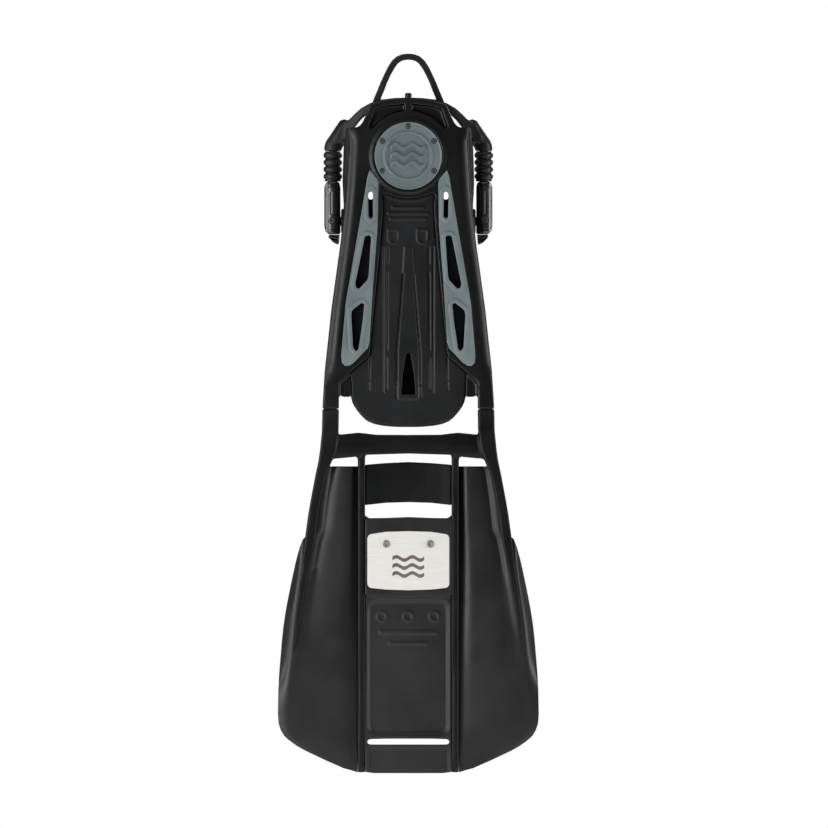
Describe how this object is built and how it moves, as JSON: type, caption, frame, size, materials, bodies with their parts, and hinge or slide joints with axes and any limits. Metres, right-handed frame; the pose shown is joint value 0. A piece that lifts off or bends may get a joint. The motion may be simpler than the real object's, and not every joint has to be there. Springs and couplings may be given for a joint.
{
  "type": "open-heel diving fin",
  "caption": "Open-heel diving fin: vented flexing blade on two arms, soft foot pocket with gripped sole, and a swinging bungee heel strap with pull loop.",
  "frame": {"origin": "on the footbed's surface, on the middle plane, level with the strap posts", "axes": "+Z from the blade towards the heel, -Y out of the sole, +Y towards the instep, X across the foot"},
  "size_m": [0.2296, 0.1017, 0.634],
  "materials": {
    "frame_polymer": "satin black moulded polymer",
    "pocket_rubber": "soft black rubber, satin",
    "sole_rubber": "soft black rubber, grooved",
    "grip_rubber": "slate grey grip rubber, satin",
    "disc_plastic": "slate grey moulded plastic",
    "dark_screws": "dark coated screws",
    "post_plastic": "black acetal",
    "flex_rubber": "black flexing rubber",
    "blade_polymer": "satin black moulded polymer",
    "wing_rubber": "satin black flexible membrane",
    "plate_steel": "stainless steel brushed across",
    "screw_steel": "stainless steel",
    "buckle_plastic": "black nylon with a soft gloss",
    "cover_plastic": "dark grey nylon",
    "cord_rubber": "black elastic cord",
    "sleeve_rubber": "ribbed black rubber",
    "band_rubber": "soft black rubber"
  },
  "bodies": {
    "foot_unit": {"foot_frame": "frame_polymer", "pocket_shell": "pocket_rubber", "sole_panel": "sole_rubber", "grip_left": "grip_rubber", "grip_right": "grip_rubber", "heel_disc": "disc_plastic", "disc_screws": "dark_screws", "heel_peg": "frame_polymer", "strap_post_left": "post_plastic", "strap_post_right": "post_plastic", "flex_left": "flex_rubber", "flex_right": "flex_rubber"},
    "blade": {"blade_frame": "blade_polymer", "wing_left": "wing_rubber", "wing_right": "wing_rubber", "centre_bridge": "wing_rubber", "centre_panel": "blade_polymer", "name_plate": "plate_steel", "plate_screws": "screw_steel", "plate_nuts": "screw_steel"},
    "strap": {"buckle_left": "buckle_plastic", "buckle_right": "buckle_plastic", "buckle_cover_left": "cover_plastic", "buckle_cover_right": "cover_plastic", "clip_left": "cover_plastic", "clip_right": "cover_plastic", "buckle_screws": "dark_screws", "bungee_left": "cord_rubber", "bungee_right": "cord_rubber", "sleeve_left": "sleeve_rubber", "sleeve_right": "sleeve_rubber"},
    "heel_pad": {"heel_band": "band_rubber", "pull_loop": "band_rubber"}
  },
  "joints": [
    {"name": "strap_swing", "type": "hinge", "parent": "foot_unit", "child": "strap", "pos_m": [0, 0.038, 0], "axis": [-1, 0, 0], "range_deg": [-5, 120]},
    {"name": "heel_stretch", "type": "slide", "parent": "strap", "child": "heel_pad", "axis": [0, 0, 1], "range_m": [0, 0.03], "stiffness_N_per_m": 1500, "deforming": ["bungee_left", "bungee_right", "sleeve_left", "sleeve_right"]},
    {"name": "blade_flex", "type": "hinge", "parent": "foot_unit", "child": "blade", "pos_m": [0, -0.006, -0.175], "axis": [1, 0, 0], "range_deg": [-25, 25], "stiffness_Nm_per_rad": 30, "deforming": ["flex_left", "flex_right"]}
  ]
}
